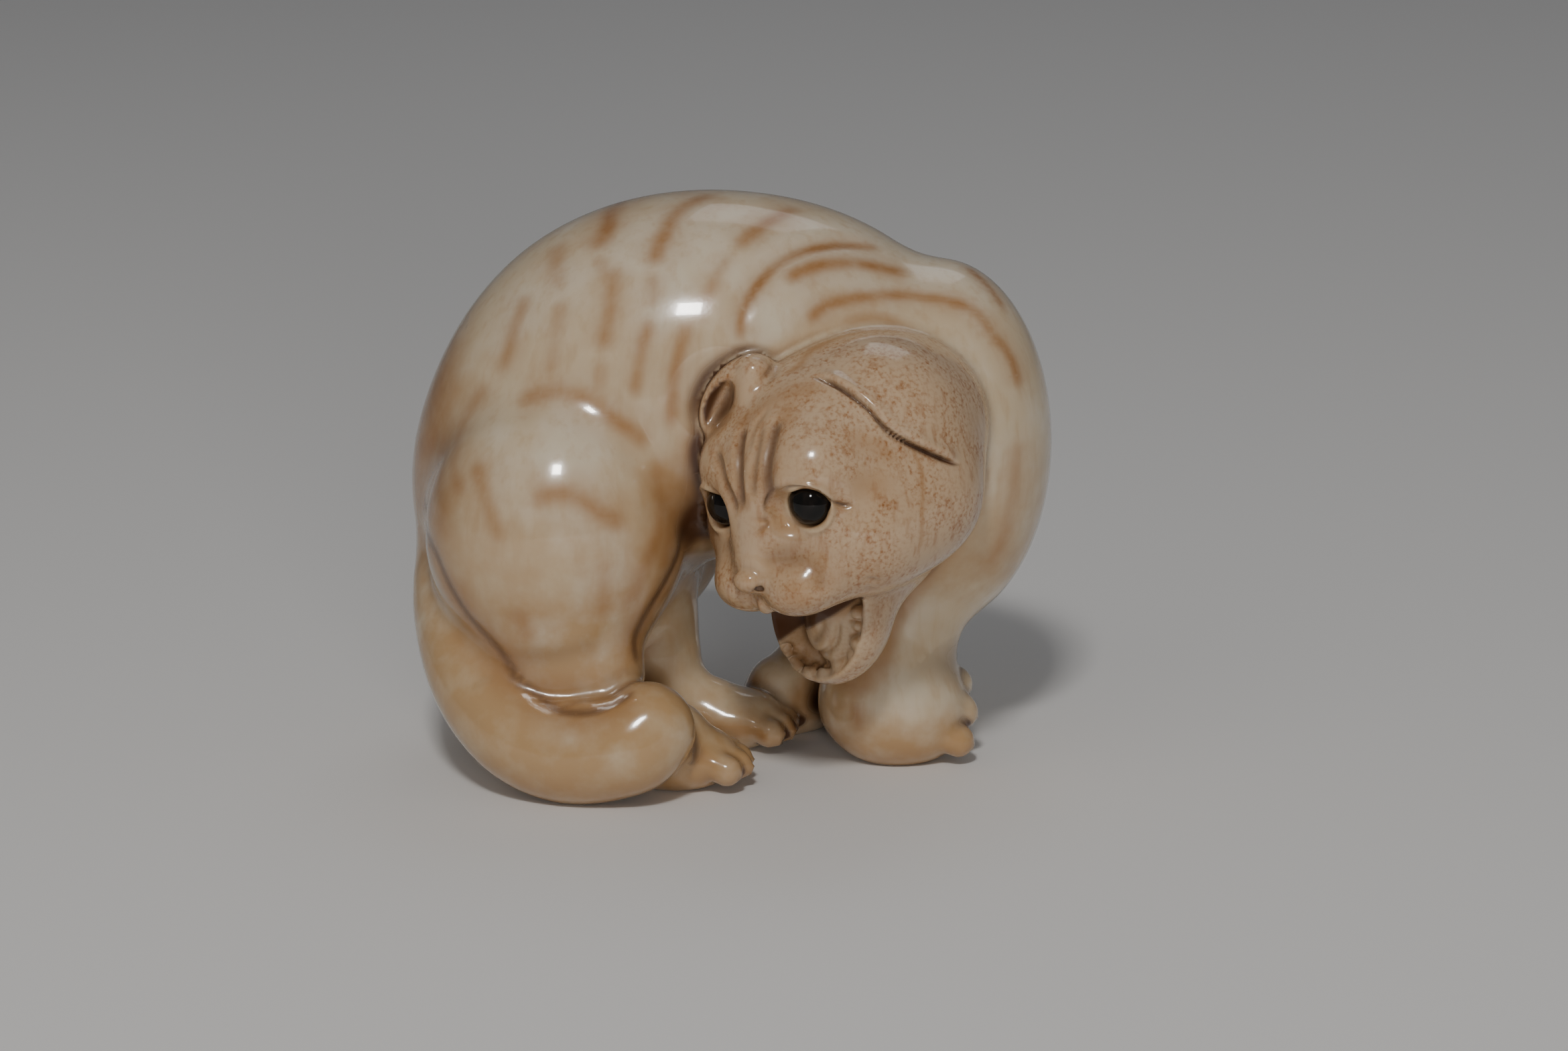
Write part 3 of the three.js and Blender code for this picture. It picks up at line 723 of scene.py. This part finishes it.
HEAD_STAINS = (
    (((7.6, 0.2, 1.6), (8.0, 0.6, -0.4), (8.2, 1.1, -1.2), (8.3, 2.1, -2.9), (7.9, 2.9, -5.1)), 0.16, 0.7),
    (((6.0, 5.2, 0.7), (6.7, 3.8, 0.3), (7.4, 3.2, -0.7)), 0.9, 0.55),
    (((-0.3, 1.5, 6.3), (0.4, 0.5, 6.5), (0.1, -1.5, 6.5), (1.2, -4.2, 6.2)), 0.4, 0.9),
    (((1.9, 5.4, 4.6), (2.0, 4.5, 5.0), (1.5, 3.0, 5.6)), 0.8, 0.6),
    (HEAD_CUTS["nose_fold"][0], 0.22, 0.9),
    (((2.4, 9.6, -3.6), (3.4, 9.6, -4.6), (4.3, 8.9, -5.0)), 1.2, 0.5),
    (((6.1, 5.1, -5.8), (5.7, 5.2, -6.5)), 0.4, 0.8),
    (((-2.2, 5.4, 4.7), (-0.8, 4.7, 5.2), (0.5, 3.6, 5.8), (2.0, 2.4, 6.0), (3.2, 1.7, 5.9)), 0.8, 0.6),
    (((5.2, 3.6, 3.6), (6.4, 2.4, 2.2), (7.2, 1.6, 0.6)), 0.7, 0.45),
)


HALO_SPREAD = 2.2                         # the halo's width over the line's own


def brushed(p, n, line, width, strength, halo=0.0):
    """A brushed line with a paler halo round it, used for stain and for painted shade."""
    amount = np.zeros(len(p), np.float32)
    rows, off, along, left, _ = along_line(p, n, line, 3 * width + 1.5)
    ends = eased(np.minimum(along, left) / 1.5 + 0.3)
    core = np.exp(-(off / width) ** 2)
    amount[rows] = strength * ends * np.maximum(core, halo * np.exp(-(off / (HALO_SPREAD * width)) ** 2))
    return amount


def sheltered(p, n, height):
    """Nearly 0 on open skin and up to 1 in a hollow about as deep as height."""
    return np.clip(1 - tiger_form(p + n * height) / height, 0, 1)


STRIPE_HALO = 0.45
right, back, up = skin.T
across, _, upward = in_head(skin).T
stain_and_shade = np.zeros(len(skin), np.float32)
mirrored = skin * np.float32((1, -1, 1)) + np.float32((0, 2 * SPINE_SIDE, 0))
mirrored_normals = normals * np.float32((1, -1, 1))
on_face = eased((body_form(skin) - head_form(skin)) / 1.2 + 0.3)
for line, width, strength in STRIPES:
    both = np.maximum(brushed(skin, normals, line, width, strength, STRIPE_HALO),
                      brushed(mirrored, mirrored_normals, line, width, strength, STRIPE_HALO))
    stain_and_shade = np.maximum(stain_and_shade, both * (1 - on_face))
for line, width, strength in HEAD_STAINS:
    stain_and_shade = np.maximum(stain_and_shade, brushed(skin, normals, in_carving(line), width, strength))

# painted shade: how dark each point is painted in a hollow where shade falls: the clefts, the cut lines,
# the creases, the mouth and the far ear
clefts = (0.9 + 0.8 * on_toes(skin)) * sheltered(skin, normals, 0.5)
hollow = np.maximum(clefts, 1.25 * sheltered(skin, normals, 1.6) ** 1.6)
for line, width, depth in HEAD_CUTS.values():
    shade = brushed(skin, normals, in_carving(line), width, min(0.8, 2.0 * depth))
    hollow = np.maximum(hollow, shade)
    stain_and_shade = np.maximum(stain_and_shade, brushed(skin, normals, in_carving(line), 0.4 + 1.5 * width, 0.45))
for line in CREASES:
    hollow = np.maximum(hollow, brushed(skin, normals, line, CREASE_WIDTH, 0.65))
hollow = np.maximum(hollow, brushed(skin, normals, ear_line, 0.16, 0.95))
in_mouth = egg((-0.95, 5.7, -8.5), (4.5, 3.6, 5.3), turned("X", GAPE))(in_head(skin))
mouth = eased(0.6 - in_mouth) * eased((-6.4 - upward) / 0.6)
# painted shadow deep in the throat, with less painted shade elsewhere in the mouth
throat = mouth * eased((upward + 11.2 - 0.42 * (across + 3.6)) / 0.6)
hollow = np.maximum(hollow * (1 - 0.7 * mouth), throat)
stain_and_shade = np.maximum(stain_and_shade * (1 - 0.6 * mouth), 0.25 * mouth)
# painted shade in the far ear's cup, put in as rust and as crevice brown
in_ear = eased(0.5 - far_ear_cup()(skin))
stain_and_shade = np.maximum(stain_and_shade, in_ear)
hollow = np.maximum(hollow, 0.5 * in_ear)

# how honey coloured each point is: low down, at the rump and in broad hollows; at the rump and in the
# hollows it is partly stain and partly painted shade
low_down = eased((30 - up) / 22)
warmth_and_shade = np.maximum(low_down, 0.9 * eased((-14 - right) / 5))
warmth_and_shade = np.maximum(warmth_and_shade, sheltered(skin, normals, 4.5))
# painted light: the near forelegs and the far legs are painted paler, with less honey, for the light that
# falls on them
painted_lit_forelegs = eased((right - 6) / 3) * eased((14 - up) / 4) * eased((up - 3) / 2.5)
painted_lit_far_legs = eased((back + 4) / 4) * eased((12 - up) / 4)
warmth_and_shade *= 1 - 0.75 * np.maximum(painted_lit_forelegs, 0.6 * painted_lit_far_legs)
warmth_and_shade *= 1 - 0.8 * mouth

# stain with painted shade: darker along the creases, on the left of the rump and in hollows, partly stain
# and partly painted shade; darker towards the bottom at the feet
# painted light: the far legs get less of this, for the light that falls on them
stain_and_shade *= 1 - 0.5 * painted_lit_far_legs
for line in CREASES:
    stain_and_shade = np.maximum(stain_and_shade, brushed(skin, normals, line, 1.7, 0.8))
stain_and_shade = np.maximum(stain_and_shade, 0.4 * eased((4.5 - up) / 3.5))
stain_and_shade = np.maximum(stain_and_shade, 0.9 * eased((-16 - right) / 3.5) * eased((up - 15) / 3))
stain_and_shade = np.maximum(stain_and_shade, 0.8 * eased(1.6 * sheltered(skin, normals, 2.8) - 0.35))
face_tint = on_face * (1 - 0.8 * lid) * (1 - 0.6 * mouth)
amounts = {"stain_and_shade": stain_and_shade, "hollow": hollow, "warmth_and_shade": warmth_and_shade, "face": face_tint}
for name, values in amounts.items():
    attribute = carving.data.attributes.new(name, "FLOAT", "POINT")
    attribute.data.foreach_set("value", values.astype(np.float32))


class Nodes:
    """A material's nodes, added and linked one by one."""

    def __init__(self, name):
        self.material = bpy.data.materials.new(name)
        self.material.use_nodes = True
        self.tree = self.material.node_tree
        self.shader = self.tree.nodes["Principled BSDF"]

    def add(self, kind, inputs=(), **settings):
        node = self.tree.nodes.new("ShaderNode" + kind)
        for key, value in settings.items():
            setattr(node, key, value)
        for key, value in dict(inputs).items():
            self.put(value, node.inputs[key])
        return node

    def put(self, value, socket):
        if isinstance(value, bpy.types.NodeSocket):
            self.tree.links.new(value, socket)
        else:
            socket.default_value = value

    def attribute(self, name):
        return self.add("Attribute", attribute_name=name).outputs["Fac"]

    def noise(self, vector, size, detail=3, stretch=(1, 1, 1)):
        """Noise from 0 to 1 with features of about this size in metres."""
        scaled = self.add("Mapping", {"Vector": vector, "Scale": stretch}).outputs["Vector"]
        made = self.add("TexNoise", {"Vector": scaled, "Scale": 1 / size, "Detail": detail})
        return made.outputs["Fac"]

    def math(self, operation, a, b=0.0, clamp=False):
        return self.add("Math", {0: a, 1: b}, operation=operation, use_clamp=clamp).outputs[0]

    def ramp(self, value, low, high):
        """0 below low and 1 above high."""
        node = self.add("MapRange", {"Value": value, "From Min": low, "From Max": high},
                        interpolation_type="SMOOTHSTEP")
        return node.outputs["Result"]

    def mix(self, amount, a, b, blend="MIX"):
        node = self.add("Mix", data_type="RGBA", blend_type=blend)
        self.put(amount, node.inputs["Factor"])
        self.put(a, node.inputs[6])
        self.put(b, node.inputs[7])
        return node.outputs[2]


# Old ivory: cream where it is handled most, honey below, rust in the stripes; rust, honey and a dark brown
# also paint shade into the cuts and hollows.
CREAM = (0.58, 0.475, 0.33, 1)
PALE = (0.64, 0.565, 0.44, 1)
HONEY = (0.43, 0.275, 0.135, 1)
FLESH = (0.48, 0.33, 0.20, 1)
FRECKLE = (0.27, 0.105, 0.03, 1)
RUST = (0.33, 0.165, 0.062, 1)
CREVICE_SHADE = (0.075, 0.028, 0.010, 1)

ivory = Nodes("polished_ivory")
where = ivory.add("TexCoord").outputs["Object"]
face = ivory.attribute("face")
broad = ivory.noise(where, 0.006)
cloud = ivory.noise(where, 0.0022, 4)
streak = ivory.noise(where, 0.0007, 4, (1, 1, 0.22))
speck = ivory.noise(where, 0.00024, 5)
hatch = ivory.noise(where, 0.00045, 4, (1, 1, 0.28))
colour = ivory.mix(ivory.ramp(broad, 0.42, 0.62), CREAM, PALE)
colour = ivory.mix(ivory.math("MULTIPLY", ivory.ramp(streak, 0.45, 0.75), 0.30), colour, HONEY)
clouded = ivory.math("MULTIPLY", ivory.math("ADD", cloud, 0.05), 1.6)
# honey: the lower tone, with painted shade at the rump and in hollows and painted light on the legs
warm_and_shade = ivory.math("MULTIPLY", ivory.attribute("warmth_and_shade"), clouded, True)
colour = ivory.mix(warm_and_shade, colour, HONEY)
colour = ivory.mix(ivory.math("MULTIPLY", face, 0.85), colour, FLESH)
freckles = ivory.math("MULTIPLY", ivory.ramp(speck, 0.42, 0.75), ivory.ramp(cloud, 0.30, 0.60))
freckles = ivory.math("ADD", freckles, ivory.math("MULTIPLY", ivory.ramp(hatch, 0.48, 0.72), 0.6))
colour = ivory.mix(ivory.math("MULTIPLY", freckles, ivory.math("MULTIPLY", face, 0.70)), colour, FRECKLE)
grained = ivory.math("ADD", ivory.math("MULTIPLY", cloud, 0.9), 0.45)
# rust for the brushed stripes and stains, and for the painted shade in creases, hollows and the far ear
stain_and_shade_mix = ivory.math("MULTIPLY", ivory.attribute("stain_and_shade"), grained, True)
colour = ivory.mix(stain_and_shade_mix, colour, RUST)
# painted shade: the hollows darkened towards crevice brown, and made a little rougher
depth = ivory.ramp(ivory.attribute("hollow"), 0.15, 0.95)
colour = ivory.mix(depth, colour, CREVICE_SHADE)
ivory.put(colour, ivory.shader.inputs["Base Color"])
rough = ivory.math("ADD", ivory.math("MULTIPLY", cloud, 0.12), 0.12)
rough = ivory.math("ADD", rough, ivory.math("MULTIPLY", depth, 0.25))
ivory.put(rough, ivory.shader.inputs["Roughness"])
ivory.shader.inputs["Coat Weight"].default_value = 0.6
ivory.shader.inputs["Coat Roughness"].default_value = 0.05
ivory.shader.inputs["Subsurface Weight"].default_value = 0.15
ivory.shader.inputs["Subsurface Scale"].default_value = 0.0012
ivory.shader.inputs["Subsurface Radius"].default_value = (1.0, 0.6, 0.35)
uneven = ivory.math("ADD", ivory.math("MULTIPLY", broad, 1.0), ivory.math("MULTIPLY", speck, 0.06))
bump = ivory.add("Bump", {"Height": uneven, "Strength": 0.35, "Distance": 0.00012})
ivory.put(bump.outputs["Normal"], ivory.shader.inputs["Normal"])
carving.data.materials.clear()
carving.data.materials.append(ivory.material)


# ================================================================ the two inlaid eyes
# Domed plugs of black horn, turned and polished, each pressed with a little lacquer into its
# socket, so that only the dome shows between the carved lids.

EYE_DEPTH = 1.5                           # mm that a plug goes in behind its dome
horn = Nodes("polished_black_horn")
horn_where = horn.add("TexCoord").outputs["Object"]
grain = horn.ramp(horn.noise(horn_where, 0.0004, 4, (1, 1, 0.2)), 0.4, 0.8)
horn_colour = horn.mix(grain, (0.004, 0.0035, 0.003, 1), (0.012, 0.008, 0.006, 1))
horn.put(horn_colour, horn.shader.inputs["Base Color"])
horn_rough = horn.math("ADD", horn.math("MULTIPLY", grain, 0.05), 0.04)
horn.put(horn_rough, horn.shader.inputs["Roughness"])
horn.shader.inputs["Specular IOR Level"].default_value = 0.35

for side, at in EYES.items():
    angles = np.linspace(0, math.pi / 2, 17)
    dome = [(EYE_RADIUS * math.cos(a), EYE_RADIUS * math.sin(a)) for a in angles]
    profile = [(0, -EYE_DEPTH), (EYE_RADIUS * 0.9, -EYE_DEPTH), *dome[:-1], (0, EYE_RADIUS)]
    mesh = bpy.data.meshes.new(f"horn_eye_{side}")
    mesh.from_pydata([(x * MM, 0, z * MM) for x, z in profile],
                     [(i, i + 1) for i in range(len(profile) - 1)], [])
    eye = bpy.data.objects.new(f"horn_eye_{side}", mesh)
    bpy.context.collection.objects.link(eye)
    bpy.ops.object.select_all(action="DESELECT")
    bpy.context.view_layer.objects.active = eye
    eye.select_set(True)
    lathe = eye.modifiers.new("lathe", "SCREW")
    lathe.axis = "Z"
    lathe.steps = 48
    lathe.render_steps = 48
    lathe.use_merge_vertices = True
    lathe.merge_threshold = 1e-6
    bpy.ops.object.modifier_apply(modifier="lathe")
    bpy.ops.object.mode_set(mode="EDIT")
    bpy.ops.mesh.select_all(action="SELECT")
    bpy.ops.mesh.normals_make_consistent(inside=False)
    bpy.ops.object.mode_set(mode="OBJECT")
    bpy.ops.object.shade_smooth_by_angle(angle=math.radians(40))
    centre = (in_carving([at])[0] - STAND) * MM
    facing = Vector(HEAD_AXES @ np.float32(outward(at)))
    eye.matrix_world = Matrix.Translation(centre) @ facing.to_track_quat("Z", "Y").to_matrix().to_4x4()
    bpy.ops.object.transform_apply(location=True, rotation=True, scale=True)
    mesh.materials.append(horn.material)
    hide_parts(f"eye_{side}")
    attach(eye, "root")
